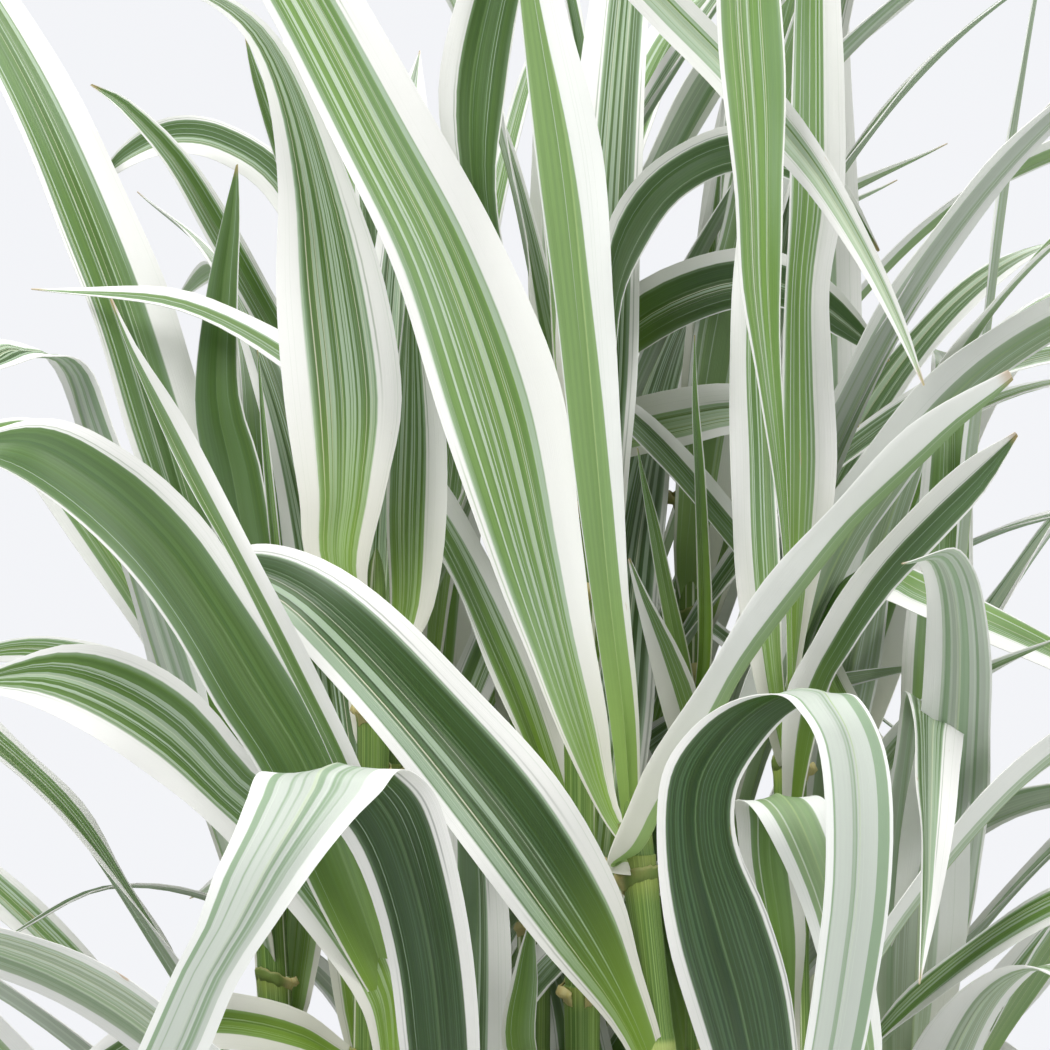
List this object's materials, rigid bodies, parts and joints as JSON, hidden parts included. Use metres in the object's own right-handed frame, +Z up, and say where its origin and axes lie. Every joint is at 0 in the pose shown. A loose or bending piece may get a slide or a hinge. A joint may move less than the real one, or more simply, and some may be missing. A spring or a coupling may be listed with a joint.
{
  "type": "potted giant reed",
  "caption": "Variegated giant reed in a round clay pot: leafy culms with arching striped blades standing in potting soil.",
  "frame": {"origin": "centre of the pot's flat underside", "axes": "+Z up, along the pot's axis; the picture looks along +Y, with +X to the right"},
  "size_m": [0.8241, 0.7671, 0.9846],
  "materials": {
    "clay": "matte",
    "soil": "matte",
    "leaf": "satin"
  },
  "bodies": {
    "root": {"pot": "clay", "soil": "soil", "culm_front": "leaf", "culm_right": "leaf", "culm_front_left": "leaf", "culm_left": "leaf", "culm_far_left": "leaf", "culm_middle": "leaf", "culm_middle_right": "leaf", "culm_far_right": "leaf", "culm_back": "leaf", "culm_back_left": "leaf", "culm_back_right": "leaf", "culm_rear": "leaf", "culm_rear_left": "leaf", "culm_rear_right": "leaf"}
  },
  "joints": []
}
